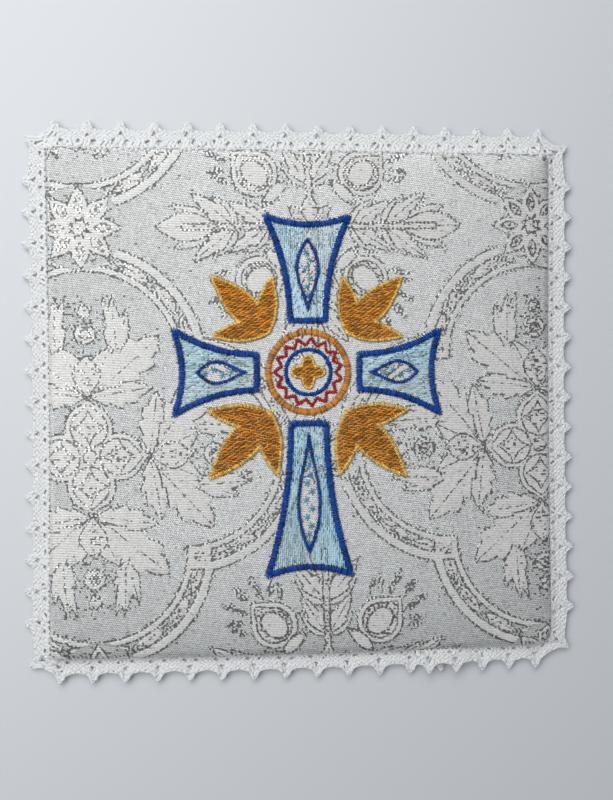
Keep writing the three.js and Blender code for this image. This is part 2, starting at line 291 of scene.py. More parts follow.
ROSETTE_RADIUS, ROSETTE_TURN = 13.0, np.pi / 4


def lay(figure, layer, depth, specks=0.0, vein=NO_VEIN):
    """Adds a white shape to a layer of the figure, with the share of silver floats and the vein inside it."""
    inside = depth > 0.0
    figure[layer] = np.maximum(figure[layer], depth)
    figure["silver"] = np.where(inside, specks, figure["silver"])
    figure["vein"] = np.where(inside, vein, figure["vein"])


def lay_leaves(figure, leaves, along, across, veined=True):
    """Adds a table of leaves, each with its middle line as its vein or with none."""
    for layer, specks, *shape in leaves:
        depth, side = leaf(along, across, *shape)
        lay(figure, layer, depth, specks, side if veined else NO_VEIN)


def brocade_figure(x, y):
    """The woven figure at places on the cloth: depth inside the white shapes of each layer, share of loose
    silver floats, and distance from a leaf's vein. The repeat mirrors both ways and across its diagonals, so
    each point folds into an eighth of a medallion: u runs from its centre to the rosette, v across. The cell
    between four medallions is drawn from its own centre, along towards a rosette and across."""
    dx, dy = x - REPEAT_MIDDLE[0], y - REPEAT_MIDDLE[1]
    right, up = dx + REPEAT_SLANT * dy, (dy - REPEAT_RISE * dx) * REPEAT / REPEAT_Y
    from_column, from_row = (np.abs(place % (2.0 * REPEAT) - REPEAT) for place in (right, up))
    u, v = np.maximum(from_column, from_row), np.minimum(from_column, from_row)
    along, across = REPEAT - v, REPEAT - u
    figure = {key: np.full(u.shape, plain) for key, plain in PLAIN.items()}
    figure["silver"] += GROUND_SPECKS + SPECKLED_SPECKS * smooth(-1.0, 2.0, oval(u, v, *SPECKLED_OVAL))

    lay_leaves(figure, PALMETTE_LEAVES, u, v)
    lay(figure, "middle", leaf(u, v, *BUD_LEAF)[0], specks=0.3)
    for layer, specks, *shape in BERRIES:
        lay(figure, layer, oval(u, v, *shape), specks)
    petal = np.maximum(oval(u, v, *PETAL_OVAL), leaf(u, v, *PETAL_TIP)[0])
    from_diagonal = 1.4 * (u - v)
    lay(figure, "back", petal, vein=from_diagonal)
    lay(figure, "middle", petal - PETAL_RIM, vein=from_diagonal)
    star = (np.abs(u - STAR_PLACE) ** STAR_POWER + np.abs(v) ** STAR_POWER) ** (1.0 / STAR_POWER)
    lay(figure, "front", (STAR_REACH - star) / 2.0, specks=0.2)
    lay(figure, "front", QUATREFOIL_EYE - np.hypot(u, v), specks=0.2)

    for shape in FERN_LEAVES:
        fern = FERN_SPECKS * smooth(-0.3, 0.2, leaf(along, across, *shape)[0])
        figure["silver"] = np.maximum(figure["silver"], fern)
    pod = np.maximum(oval(along, across, *POD_OVAL), leaf(along, across, *POD_TIP)[0])
    lay(figure, "back", pod)
    lay(figure, "middle", pod - POD_RIM, specks=0.35)
    lay(figure, "front", oval(along, across, *SEED_OVAL))
    lay(figure, "front", oval(along, across, *CUP_OVAL))
    lay_leaves(figure, SPRIG_LEAVES, along, across)
    stem = np.minimum(STEM_HALF - np.abs(across), np.minimum(along - STEM_FROM, STEM_TO - along))
    lay(figure, "front", stem, specks=0.3)

    from_lobe = np.hypot(u - LOBE_OFFSET, v)
    band_middle = (BAND_INNER + BAND_OUTER) / 2.0
    in_band = (from_lobe > BAND_INNER) & (from_lobe < BAND_OUTER)
    figure["silver"] = np.where(in_band, BAND_SPECKS, figure["silver"])
    step = (np.arctan2(v, u - LOBE_OFFSET) * band_middle - SCROLL_START) % SCROLL_STEP
    scroll, side = leaf(step, from_lobe - band_middle, *SCROLL_LEAF)
    lay(figure, "middle", scroll, specks=0.22, vein=side)
    lay(figure, "back", oval(step, from_lobe - band_middle, *BEAD_OVAL), specks=0.1)
    lay(figure, "front", INNER_LINE_HALF - np.abs(from_lobe - BAND_INNER - INNER_LINE_HALF))
    lay(figure, "front", OUTER_LINE_HALF - np.abs(from_lobe - BAND_OUTER + OUTER_LINE_HALF))
    knot = KNOT_HALF - np.maximum(np.abs(u - KNOT_PLACE), np.abs(v - KNOT_PLACE))
    lay(figure, "front", knot)
    lay(figure, "middle", knot - KNOT_RIM, specks=0.3)

    from_node = np.hypot(REPEAT - u, v)
    rosette = from_node < ROSETTE_RADIUS
    for layer in LAYERS:
        figure[layer][rosette] = NO_SHAPE
    figure["silver"][rosette] = ROSETTE_SPECKS
    angle = (np.arctan2(v, REPEAT - u) + ROSETTE_TURN / 2) % ROSETTE_TURN - ROSETTE_TURN / 2
    petal_along, petal_across = from_node * np.cos(angle), from_node * np.sin(angle)
    lay_leaves(figure, ROSETTE_PETALS, petal_along, petal_across, veined=False)
    lay(figure, "front", ROSETTE_EYE - from_node, specks=0.25)
    return figure


def grid_faces(index):
    """Faces of a grid of point numbers, and the loop of numbers round its border."""
    faces = np.stack([index[:-1, :-1], index[1:, :-1], index[1:, 1:], index[:-1, 1:]], -1).reshape(-1, 4)
    return faces, np.concatenate([index[:-1, 0], index[-1, :-1], index[:0:-1, -1], index[0, :0:-1]])


def cover_section():
    """Length along the cloth from the middle of the top, with inset from the outline and height there."""
    turn = np.linspace(np.pi / 2, 0.0, ROLL_POINTS)
    top = np.linspace(HALF_SIDE, ROLL, TOP_POINTS)
    inset = np.concatenate([top, ROLL * (1 - np.cos(turn)), TUCK * (1 - np.sin(turn))[1:]])
    crown = TOP_Z + (SHOULDER_Z - TOP_Z) * np.exp((ROLL - top) / CROWN_FADE)
    shoulder = WIDEST_Z + (SHOULDER_Z - WIDEST_Z) * np.sin(turn)
    z = np.concatenate([crown, shoulder, WIDEST_Z * (1 - np.cos(turn))[1:]])
    length = np.concatenate([[0.0], np.cumsum(np.hypot(np.diff(inset), np.diff(z)))])
    return length, inset, z


def cover_surface(cloth_x, cloth_y):
    """Points of the cover for places on the flat cloth. Square rings of the cloth become rings of the pad:
    the section gives each its size and height, its corners are rounded near the rim, and its sides bowed."""
    length, inset, height = cover_section()
    ring = np.maximum(np.abs(cloth_x), np.abs(cloth_y))
    half = HALF_SIDE - np.interp(ring, length, inset)
    z = np.interp(ring, length, height)
    scale = half / np.maximum(ring, 1e-9)
    x, y = cloth_x * scale, cloth_y * scale
    radius = np.zeros_like(x)
    for (sign_x, sign_y), corner in CORNER_RADII.items():
        radius = np.where((x * sign_x > 0) & (y * sign_y > 0), corner, radius)
    radius = np.maximum(radius * smooth(SQUARE_WITHIN, ROUND_BEYOND, ring), 1e-6)
    small = np.minimum(np.abs(x), np.abs(y))
    turn = np.clip((small - half + radius) / radius, 0.0, 1.0) * np.pi / 4
    on_arc = small > half - radius
    big = np.where(on_arc, half - radius + radius * np.cos(turn), half)
    small = np.where(on_arc, half - radius + radius * np.sin(turn), small)
    wide = np.abs(x) >= np.abs(y)
    x = np.sign(x) * np.where(wide, big, small)
    y = np.sign(y) * np.where(wide, small, big)
    u, v = x / HALF_SIDE, y / HALF_SIDE
    swell_x, swell_y = (1 + np.cos(np.pi * v)) / 2, (1 + np.cos(np.pi * u)) / 2
    dx = swell_x * (BOW_RIGHT * np.maximum(u, 0) ** 4 - BOW_LEFT * np.maximum(-u, 0) ** 4)
    dy = swell_y * (BOW_BACK * np.maximum(v, 0) ** 4 - BOW_FRONT * np.maximum(-v, 0) ** 4)
    return x + dx, y + dy, z, ring


def make_cover():
    """The cover as a grid over the flat cloth, closed by rings across the underside."""
    reach = cover_section()[0][-1]
    line = np.linspace(-reach, reach, COVER_CELLS + 1)
    cloth_x, cloth_y = np.meshgrid(line, line, indexing="ij")
    x, y, z, ring = cover_surface(cloth_x, cloth_y)
    figure = brocade_figure(cloth_x, cloth_y)
    pad = np.sin(cloth_x / PAD_WAVE_X + PAD_WAVE_SHIFT) * np.sin(cloth_y / PAD_WAVE_Y)
    deepest = np.max([figure[layer] for layer in LAYERS], axis=0)
    relief = FIGURE_RELIEF * smooth(-0.5, 0.7, deepest) + PAD_RELIEF * pad
    z = z + relief * smooth(FLAT_BEYOND, RELIEF_WITHIN, ring)
    points = np.stack([x, y, z], -1).reshape(-1, 3)
    on_cloth = len(points)
    top, loop = grid_faces(np.arange(on_cloth).reshape(x.shape))
    rings, loops = [points], [loop]
    for scale in UNDERSIDE_RINGS:
        loops.append(len(loop) * (len(loops) - 1) + on_cloth + np.arange(len(loop)))
        rings.append(points[loop] * [scale, scale, 0.0])
    rings.append(np.zeros((1, 3)))
    points = np.concatenate(rings)
    faces = top.tolist()
    for outer, inner in zip(loops, loops[1:]):
        faces += np.stack([outer, inner, np.roll(inner, -1), np.roll(outer, -1)], -1).tolist()
    last = np.full(len(loop), len(points) - 1)
    faces += np.stack([loops[-1], last, np.roll(loops[-1], -1)], -1).tolist()
    extra = len(points) - on_cloth
    values = {key: np.append(figure[key], np.full(extra, plain)) for key, plain in PLAIN.items()}
    return add_mesh("cover_brocade", points, faces, **values)


OUTLINE_OFFSET, OUTLINE_CORE, OUTLINE_FADE = 0.25, 0.08, 0.54
VEIN_CORE, VEIN_FADE, VEIN_SHARE = 0.08, 0.42, 0.55
FRINGE_FROM, FRINGE_TO, FRINGE_SPECKS = -1.9, -0.2, 0.20
FLOAT_PITCH, OUTLINE_FLOAT, LOOSE_FLOAT, LIT_AND_SHADED_FLOAT = 0.56, 1.1, 0.9, 0.64
# Painted shade and painted light: the dark and bright copies of the one silver of the floats.
PAINTED_SHADE_SILVER, PAINTED_LIT_SILVER = 0.14, 0.80
GROUND_TONE, GROUND_WEAVE, GROUND_YARN, GROUND_GRAIN = 0.585, 0.28, 0.26, 0.08
WHITE_TONE, WHITE_ROWS, WHITE_YARN = 0.53, 0.18, 0.20
TWILL_X, TWILL_Y, WEFT_X, WEFT_Y = 1.60, 0.93, 0.20, 1.47
ROW_PITCH, ROW_SLANT, RIB_PITCH, YARN_LENGTH, YARN_PITCH = 0.76, 0.05, 0.31, 0.40, 0.34

cover = make_cover()
material, shade = new_material("brocade", Specular_IOR_Level=0.5)
x, y = shade.place()[:2]
drift = shade.noise((x, y), 0.09)

# From back to front, each layer adds its white and its outline of floats and hides the outlines behind it.
white, edge, nearest = 0.0, 0.0, NO_SHAPE
for layer in LAYERS:
    depth = shade.attribute(layer)
    inside = depth.rise(-0.12, 0.14)
    line = 1.0 - abs(depth + OUTLINE_OFFSET).rise(OUTLINE_CORE, OUTLINE_FADE)
    edge = line.larger(edge * (1.0 - inside))
    white = inside.larger(white)
    nearest = depth.larger(nearest)
vein_line = 1.0 - abs(shade.attribute("vein")).rise(VEIN_CORE, VEIN_FADE)
edge = edge.larger(vein_line * VEIN_SHARE)

yarn = shade.cells(x, y, YARN_LENGTH, YARN_PITCH)
grain = shade.noise((x, y), 1.6, 3.0)
weave = (x * TWILL_X + y * TWILL_Y).wave() + (x * WEFT_X + y * WEFT_Y).wave()
weft_rows = (y / ROW_PITCH + drift * 1.5 + x * ROW_SLANT).wave()
ribs = (x / RIB_PITCH + drift * 0.9).wave()
ground_value = GROUND_TONE + GROUND_WEAVE * (weave - 1.0) + GROUND_YARN * (yarn - 0.5)
ground_value = ground_value + GROUND_GRAIN * (grain - 0.5)
white_value = WHITE_TONE + WHITE_ROWS * weft_rows.rise(0.05, 0.6) + WHITE_YARN * (yarn - 0.5)

chance = shade.cells(x, y + 40.0, OUTLINE_FLOAT, FLOAT_PITCH)
outline = (edge + 0.95 * (chance - 0.5)).rise(0.40, 0.54)
fringe = nearest.rise(FRINGE_FROM, FRINGE_TO) * (1.0 - white)
loose_share = shade.attribute("silver") + FRINGE_SPECKS * fringe
silver = outline.larger(shade.cells(x + 31.0, y, LOOSE_FLOAT, FLOAT_PITCH) < loose_share)
# Every other silver float cell is painted dark as shade and the rest bright as lit, for the shaded and lit
# sides of the floats.
column = shade.cell(x, y, LIT_AND_SHADED_FLOAT, FLOAT_PITCH)[0]
every_other = column.maths("FLOORED_MODULO", column, 2.0)
painted_lit_share = every_other * shade.cells(x, y, LIT_AND_SHADED_FLOAT, FLOAT_PITCH).rise(0.10, 0.70)

value = silver.blend(white.blend(ground_value, white_value), painted_lit_share.blend(PAINTED_SHADE_SILVER, PAINTED_LIT_SILVER))
red, blue = value * white.blend(0.970, 0.992), value * white.blend(1.010, 0.990)
height = white.blend(ribs * 0.85, weft_rows * 0.7) + 0.5 * yarn + silver * painted_lit_share
shade.surface(
    Base_Color=shade.node("ShaderNodeCombineColor", {0: red, 1: value, 2: blue}),
    Roughness=silver.blend(white.blend(0.36, 0.46), 0.34),
    Metallic=silver.blend(white.blend(0.5, 0.15), painted_lit_share.blend(0.62, 0.90)),
    Normal=shade.bump(height, 0.55, 0.12),
)
cover.data.materials.append(material)
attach(cover, "root")
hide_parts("cover")

# LACE EDGING
# One strip of white cotton lace, sewn on round the rim with its ends overlapping on the front edge. Slanting
# threads pass over and under each other on a dense ground between two cords, with three small eyelets by the
# seam at each point of the scalloped edge and a looped picot on its tip.
SIDES = np.array([(0.0, -1.0), (-1.0, 0.0), (0.0, 1.0), (1.0, 0.0)])
BOWS = np.array([BOW_FRONT, BOW_LEFT, BOW_BACK, BOW_RIGHT])
CORNER_AFTER = np.array(list(CORNER_RADII.values()))
CORNER_BEFORE = np.roll(CORNER_AFTER, 1)
SEAM_Z, HEM_Z, LAP, LAP_RISE, LAP_DIP, SCALLOP_DEPTHS = np.array([
    # front, left, back, right
    (0.0, 1.0, 1.6, 0.8),
    (1.0, 0.3, 0.8, 0.9),
    (0.1, 0.35, 2.0, 0.8),
    (0.0, 0.5, 1.9, 0.9),
    (0.15, 0.2, 0.75, 0.4),
    (1.5, 0.9, 1.2, 0.7),
])
LAP_SHARE, DIP_SHARE = 0.34, 0.13
STRAIGHT = 2.0 * HALF_SIDE - CORNER_AFTER - CORNER_BEFORE
RIM_STARTS = np.concatenate([[0.0], np.cumsum(np.stack([STRAIGHT, CORNER_AFTER * np.pi / 2], 1).ravel())])
RIM_LENGTH = RIM_STARTS[-1]
LACE_GAP, LACE_WIDTH, LACE_MIDDLE = 0.35, 5.9, 0.5
SCALLOP_POWER, CORNER_SLACK = 1.8, 0.35
PICOT_LENGTH, PICOT_WIDTH, PICOT_POWER = 1.7, 1.15, 3.0
OVERLAP_RAMP, OVERLAP_FULL, OVERLAP_LIFT = 12.0, 1.0, 1.35
RIPPLE_HEIGHT, RIPPLE_LENGTH = 0.25, 37.0
EYELETS = ((-2.0, 1.45), (2.0, 1.45), (0.0, 2.85))
EYELET_ALONG, EYELET_ACROSS = 1.25, 0.95


def rightward(vectors):
    return np.stack([vectors[..., 1], -vectors[..., 0]], -1)


def rim(distance):
    """Point and outward direction at a distance along the pad's outline of bowed edges and round corners,
    clockwise from the front edge's right end. Also the edge, the next one and the share of the turn to it."""
    distance = np.asarray(distance) % RIM_LENGTH
    piece = np.searchsorted(RIM_STARTS, distance, "right") - 1
    side, on_arc = piece // 2, piece % 2 == 1
    share = (distance - RIM_STARTS[piece]) / (RIM_STARTS[piece + 1] - RIM_STARTS[piece])
    following = (side + 1) % 4
    out = SIDES[side]
    along = rightward(out)
    bow = BOWS[side] * (1 - np.cos(2 * np.pi * share)) / 2
    run = CORNER_BEFORE[side] - HALF_SIDE + share * STRAIGHT[side]
    on_edge = out * (HALF_SIDE + bow)[:, None] + along * run[:, None]
    turn = (share * np.pi / 2)[:, None]
    turned_out = out * np.cos(turn) + along * np.sin(turn)
    radius = CORNER_AFTER[side][:, None]
    on_corner = (out + SIDES[following]) * (HALF_SIDE - radius) + turned_out * radius
    arc = on_arc[:, None]
    return (
        np.where(arc, on_corner, on_edge),
        np.where(arc, turned_out, out),
        side,
        following,
        np.where(on_arc, smooth(0, 1, share), 0.0),
    )


def front_distance(x):
    """Distance along the rim of a place on the front edge."""
    return HALF_SIDE - CORNER_BEFORE[0] - x


CORNER_TIPS = CORNER_AFTER * np.pi / 6
LACE_RUNS = (
    # first tip, last tip, number of tips
    (front_distance(33.6), RIM_STARTS[1], 12),
    (RIM_STARTS[2] - CORNER_TIPS[0], RIM_STARTS[3] + CORNER_TIPS[1], 17),
    (RIM_STARTS[4], RIM_STARTS[5], 16),
    (RIM_STARTS[6] - CORNER_TIPS[2], RIM_STARTS[7] + CORNER_TIPS[3], 17),
    (RIM_LENGTH, RIM_LENGTH + front_distance(39.4), 5),
)
TIPS = np.concatenate([np.linspace(*run) for run in LACE_RUNS])
MARKS = np.concatenate([[2 * TIPS[0] - TIPS[1]], TIPS, [2 * TIPS[-1] - TIPS[-2]]])
MARK_POINTS, MARK_OUT = rim(MARKS)[:2]
MARK_BASES = MARK_POINTS + MARK_OUT * LACE_WIDTH
LACE_FROM, LACE_TO = front_distance(45.0), RIM_LENGTH + front_distance(36.0)
LACE_OVERLAP = RIM_LENGTH + LACE_FROM


def lace_surface(distance, across, rise=0.0, slack=1.0):
    """Points of the lace at a distance along the rim and a share of its width from the seam. Between two tips
    the outer edge is a chord, hollowed by a power of the distance from its middle and drawn out into a picot
    at each tip. Near the seam the lace laps over the rim by an amount for each edge, times the slack."""
    point, out, side, following, turned_share = rim(distance)
    mark = np.clip(np.searchsorted(MARKS, distance, "right") - 1, 0, len(MARKS) - 2)
    share = np.clip((distance - MARKS[mark]) / (MARKS[mark + 1] - MARKS[mark]), 0, 1)
    chord = MARK_BASES[mark + 1] - MARK_BASES[mark]
    turning = (MARK_OUT[mark] * MARK_OUT[mark + 1]).sum(1) < 0.9

    def between(table):
        return table[side] + (table[following] - table[side]) * turned_share

    depth = between(SCALLOP_DEPTHS) * np.where(turning, CORNER_SLACK, 1.0)
    hollow = depth * (1 - np.abs(2 * share - 1) ** SCALLOP_POWER)
    from_tip = np.minimum(share, 1 - share) * np.hypot(chord[:, 0], chord[:, 1])
    picot = PICOT_LENGTH * np.exp(-((from_tip / PICOT_WIDTH) ** PICOT_POWER))
    edge = MARK_BASES[mark] + chord * share[:, None] + out * (picot - hollow)[:, None]
    seam = point + out * LACE_GAP
    lapped = smooth(LAP_SHARE, 0.0, across)
    flat = seam + (edge - seam) * across[:, None] - out * (between(LAP) * lapped * slack)[:, None]
    seam_z, hem_z = between(SEAM_Z), between(HEM_Z)
    ripple = RIPPLE_HEIGHT * (1 - np.cos(2 * np.pi * (distance % RIM_LENGTH) / RIPPLE_LENGTH)) * across / 2
    lifted = OVERLAP_LIFT * smooth(LACE_OVERLAP - OVERLAP_RAMP, LACE_OVERLAP - OVERLAP_FULL, distance)
    sunk = between(LAP_DIP) * smooth(DIP_SHARE, 0.0, across)
    z = seam_z + (hem_z - seam_z) * across + ripple + lifted + LACE_MIDDLE + rise
    z = z + between(LAP_RISE) * lapped - sunk
    return np.column_stack([flat, z])


def nearest_tip(distance):
    return TIPS[np.abs(TIPS[None, :] - distance[:, None]).argmin(1)]


def open_eyelets(distance, across):
    """Moves places on the lace out of the eyelets: each keeps its direction from an eyelet's middle, and
    its distance from there becomes the cube root of its cube plus one, in eyelet radii."""
    across = across * LACE_WIDTH
    nearest = nearest_tip(distance)
    for along_place, across_place in EYELETS:
        dx, dy = distance - nearest - along_place, across - across_place
        reach = np.maximum(np.hypot(dx / EYELET_ALONG, dy / EYELET_ACROSS), 1e-3)
        push = (reach ** 3 + 1.0) ** (1 / 3) / reach
        distance = nearest + along_place + dx * push
        across = across_place + dy * push
    return distance, across / LACE_WIDTH


def unit(vectors):
    return vectors / np.maximum(np.linalg.norm(vectors, axis=-1, keepdims=True), 1e-9)


def tube_faces(index):
    """Walls and flat end caps of tubes, from point numbers by tube, ring and place round the ring."""
    after = np.roll(index, -1, axis=2)
    walls = np.stack([index[:, :-1], index[:, 1:], after[:, 1:], after[:, :-1]], -1).reshape(-1, 4)
    return walls.tolist() + index[:, 0].tolist() + index[:, -1, ::-1].tolist()


def round_angles(count):
    return 2 * np.pi * np.arange(count) / count


def tubes(lines, radii, sides):
    """Points and faces of threads along lines of points: an oval ring of sides round each point, in the
    plane across the line."""
    angles = round_angles(sides)
    wide, high = radii[0] * np.cos(angles)[:, None], radii[1] * np.sin(angles)[:, None]
    points, faces, start = [], [], 0
    for line in lines:
        along = unit(np.gradient(line, axis=0))
        side = unit(np.cross(along, [0.0, 0.0, 1.0]))
        ring = side[:, None] * wide + np.cross(side, along)[:, None] * high
        points.append((line[:, None] + ring).reshape(-1, 3))
        size = len(line) * sides
        faces += tube_faces(start + np.arange(size).reshape(1, len(line), sides))
        start += size
    return np.concatenate(points), faces


STRIP_STEP, STRIP_ROWS, STRIP_SHARES = 0.4, 20, (0.03, 0.97)
STRIP_DROP, STRIP_THICK, STRIP_LOWEST = 0.15, 0.30, 0.02
PIT_ALONG, PIT_ACROSS, PIT_DEPTH = 1.05, 0.68, 0.50
BRAID_PITCH, BRAID_POINTS, BRAID_RISE = 1.65, 18, 0.15
BRAID_WIDE, BRAID_THICK, BRAID_MARGIN = 0.56, 0.24, 0.01
BRAID_WANDER, BRAID_SHIFT, BRAID_LIFT, BRAID_SLACK = 0.09, 0.012, 0.05, 0.25
CORD_SHARES, CORD_STEP, CORD_RADIUS = (0.08, 0.985), 0.45, 0.28
CORD_SWAY, CORD_SWAY_LENGTH, CORD_LIFT, CORD_LIFT_LENGTH = 0.008, 0.9, 0.08, 0.55
LOOP_POINTS, LOOP_WIDE, LOOP_LONG, LOOP_LIFT, LOOP_RADIUS = 11, 0.42, 0.62, 0.12, 0.30
COTTON_SHADE, COTTON_LIGHT = (0.69, 0.71, 0.725, 1.0), (0.805, 0.83, 0.845, 1.0)
random = np.random.default_rng(11)


def lace_ground():
    """Points and faces of the closed strip of cloth stitch under the threads: the lace surface lowered, with
    a pit at each eyelet, and lower again for its underside."""
    distance = np.arange(LACE_FROM, LACE_TO, STRIP_STEP)
    along, across = np.meshgrid(distance, np.linspace(*STRIP_SHARES, STRIP_ROWS), indexing="ij")
    index = np.arange(along.size).reshape(along.shape)
    along, across = along.ravel(), across.ravel()
    from_tip, from_seam = along - nearest_tip(along), across * LACE_WIDTH
    drop = np.full(along.shape, STRIP_DROP)
    for along_place, across_place in EYELETS:
        reach = np.hypot((from_tip - along_place) / PIT_ALONG, (from_seam - across_place) / PIT_ACROSS)
        drop = drop + PIT_DEPTH * smooth(1.25, 0.75, reach)
    top = lace_surface(along, across, -drop)
    under = np.column_stack([top[:, :2], np.maximum(top[:, 2] - STRIP_THICK, STRIP_LOWEST)])
    cells, loop = grid_faces(index)
    after = np.roll(loop, -1)
    walls = np.stack([after, loop, loop + len(top), after + len(top)], -1)
    return np.concatenate([top, under]), np.concatenate([cells, cells[:, ::-1] + len(top), walls]).tolist()


def braid(lean):
    """Lines of the threads that lean one way: each runs as far along the lace as across it, over one thread
    of the other lean and under the next."""
    step = np.linspace(0.0, 1.0, BRAID_POINTS) - 0.5
    crossing = step * 2 * LACE_WIDTH / BRAID_PITCH
    lines = []
    for thread in range(int((LACE_TO - LACE_FROM) / BRAID_PITCH) + 1):
        wander = np.cumsum(random.normal(0, BRAID_WANDER, BRAID_POINTS))
        distance = LACE_FROM + thread * BRAID_PITCH + lean * step * LACE_WIDTH + wander - wander.mean()
        across = (step + 0.5) * (1.0 - 2.0 * BRAID_MARGIN) + BRAID_MARGIN + random.normal(0, BRAID_SHIFT)
        distance, across = open_eyelets(np.clip(distance, LACE_FROM, LACE_TO), across)
        rise = lean * BRAID_RISE * np.cos(np.pi * crossing) + random.normal(0, BRAID_LIFT, BRAID_POINTS)
        slack = 1.0 + BRAID_SLACK * random.normal()
        lines.append(lace_surface(distance, np.clip(across, 0.0, 1.0), rise, slack))
    return lines


def cord(share):
    """Line of a cord along the lace at a share of its width, swaying and lifting in small waves."""
    distance = np.arange(LACE_FROM, LACE_TO, CORD_STEP)
    across = share + CORD_SWAY * np.sin(distance / CORD_SWAY_LENGTH)
    return lace_surface(distance, across, CORD_LIFT * np.sin(distance / CORD_LIFT_LENGTH))


def picot_loop(tip):
    """Line of the closed loop of thread inside a tip: an ellipse that rises and falls twice."""
    angle = np.linspace(0, 2 * np.pi, LOOP_POINTS)
    base = lace_surface(np.full(LOOP_POINTS, tip), np.ones(LOOP_POINTS))
    out = rim(np.array([tip]))[1][0]
    flat = base[:, :2] + rightward(out) * (LOOP_WIDE * np.sin(angle))[:, None]
    flat = flat + out * (LOOP_LONG * np.cos(angle) - LOOP_LONG)[:, None]
    return np.column_stack([flat, base[:, 2] + LOOP_LIFT * np.sin(2 * angle)])


ground = add_mesh("lace_ground", *lace_ground())
rising = add_mesh("lace_rising_threads", *tubes(braid(1.0), (BRAID_WIDE, BRAID_THICK), 6))
falling = add_mesh("lace_falling_threads", *tubes(braid(-1.0), (BRAID_WIDE, BRAID_THICK), 6))
cord_lines = [cord(share) for share in CORD_SHARES]
cords = add_mesh("lace_cords", *tubes(cord_lines, (CORD_RADIUS, CORD_RADIUS), 5))
picot_lines = [picot_loop(tip) for tip in TIPS]
picots = add_mesh("lace_picots", *tubes(picot_lines, (LOOP_RADIUS, LOOP_RADIUS), 6))

material, shade = new_material(
    "cotton",
    Roughness=0.85,
    Subsurface_Weight=0.4,
    Subsurface_Scale=0.0008,
    Subsurface_Radius=(1.0, 1.0, 1.0),
)
fuzz = shade.noise(shade.place(), 3.2, 4.0)
shade.surface(
    Base_Color=fuzz.rise(0.3, 0.7).mix(COTTON_SHADE, COTTON_LIGHT),
    Normal=shade.bump(fuzz, 0.6, 0.15),
)
lace_pieces = (ground, rising, falling, cords, picots)
for lace_piece in lace_pieces:
    lace_piece.data.materials.append(material)
    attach(lace_piece, "root")
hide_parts("lace_edging")

# CROSS ARMS
# Four flared arms in machine embroidery: a royal blue satin stitched border, pale blue running stitch laid
# open along the arm, and down the middle a narrow outlined dart dotted with turquoise stars.
CROSS_CENTRE = np.array([1.0, 9.0])
CLOTH_Z = 4.14
ARM_ROOT, ARM_NECK, ARM_FLARE, FLARE_POWER, ARM_END_HOLLOW = 16.2, 5.6, 13.2, 2.1, 2.6
BORDER_WIDTH, BORDER_SPACING, SATIN_TEETH, SATIN_UNEVEN = 2.3, 0.40, 0.12, 0.10
DART_WIDTH, DART_HALF, DART_POWER, DART_FROM, DART_END = 1.15, 3.4, 1.35, ARM_ROOT + 3.4, 7.1
FIELD_GAP, FIELD_LENGTH, FIELD_FROM, FIELD_INSET, DART_CLEAR = 0.62, 3.1, ARM_ROOT + 0.7, 0.6, 0.2
STARS_FROM, STARS_END, STAR_SPACING, STAR_ROOM = ARM_ROOT + 8.0, 9.5, 2.7, 1.6
RAY_LENGTH, RAY_TURNS = 1.4, (12.0, 72.0, 132.0)
ARMS = {"head": (90.0, 49.0), "right": (0.0, 42.0), "foot": (-90.0, 64.0), "left": (180.0, 42.0)}
STITCH_SIDES = 5
STITCH_STATIONS, STITCH_RISE, STITCH_DIP, STITCH_THICK = np.array([
    (0.0, 0.15, 0.5, 0.85, 1.0),
    (0.05, 0.66, 1.0, 0.66, 0.05),
    (1.0, 0.1, 0.0, 0.1, 1.0),
    (0.6, 1.0, 1.0, 1.0, 0.6),
])
STITCH_UNEVEN = 0.06
FILL_CHECKS, FILL_SHIFT, FILL_START_UNEVEN, FILL_ROW_UNEVEN = 17, 0.37, 0.08, 0.035


def turned(points, degrees):
    """Points turned about the origin."""
    return np.stack(forward_and_side(points[..., 0], points[..., 1], -degrees), -1)


def stitches(name, starts, ends, height, radius, dip):
    """An object of stitches: each a thin tube from start to end, sunk into the cloth at both ends and arched
    between. Its tone attribute is random for each stitch, its middle the share of the arch's height, by which
    the thread materials paint shade at the ends and a highlight along the middle."""
    span = ends - starts
    side = rightward(unit(span))
    count, stations = len(starts), len(STITCH_STATIONS)
    flat = starts[:, None] + span[:, None] * STITCH_STATIONS[:, None]
    lift = random.normal(0, STITCH_UNEVEN, count)[:, None] + height * STITCH_RISE - dip * STITCH_DIP
    angles = round_angles(STITCH_SIDES)
    thick = radius * STITCH_THICK
    sideways = side[:, None, None] * (thick[:, None] * np.cos(angles))[None, :, :, None]
    xy = flat[:, :, None] + sideways
    z = CLOTH_Z + lift[:, :, None] + (thick[:, None] * np.sin(angles))[None]
    points = np.concatenate([xy, z[..., None]], -1).reshape(-1, 3)
    size = stations * STITCH_SIDES
    index = np.arange(count * size).reshape(count, stations, STITCH_SIDES)
    tone = np.repeat(random.random(count), size)
    middle = np.tile(np.repeat(STITCH_RISE, STITCH_SIDES), count)
    return add_mesh(name, points, tube_faces(index), tone=tone, middle=middle)


def along_path(path, spacing):
    """Evenly spaced points round a closed path, and the directions across it, softened at its corners."""
    closed = np.vstack([path, path[:1]])
    length = np.concatenate([[0.0], np.cumsum(np.hypot(*np.diff(closed, axis=0).T))])
    count = int(length[-1] / spacing)
    place = np.arange(count) * length[-1] / count
    points = np.stack([np.interp(place, length, closed[:, axis]) for axis in (0, 1)], 1)
    tangent = np.roll(points, -3, 0) - np.roll(points, 3, 0)
    return points, rightward(unit(tangent))


def satin(path, width, spacing):
    """Starts and ends of satin stitches across a closed path, long and short by turns and a little uneven,
    each slanting half a spacing forward."""
    points, across = along_path(path, spacing)
    teeth = SATIN_TEETH * np.where(np.arange(len(points)) % 2 == 0, 1.0, -1.0)
    reach = width / 2 + teeth + random.normal(0, SATIN_UNEVEN, (2, len(points)))
    slant = np.roll(points, -1, 0) - points
    return points - across * reach[0][:, None], points + across * reach[1][:, None] + 0.5 * slant


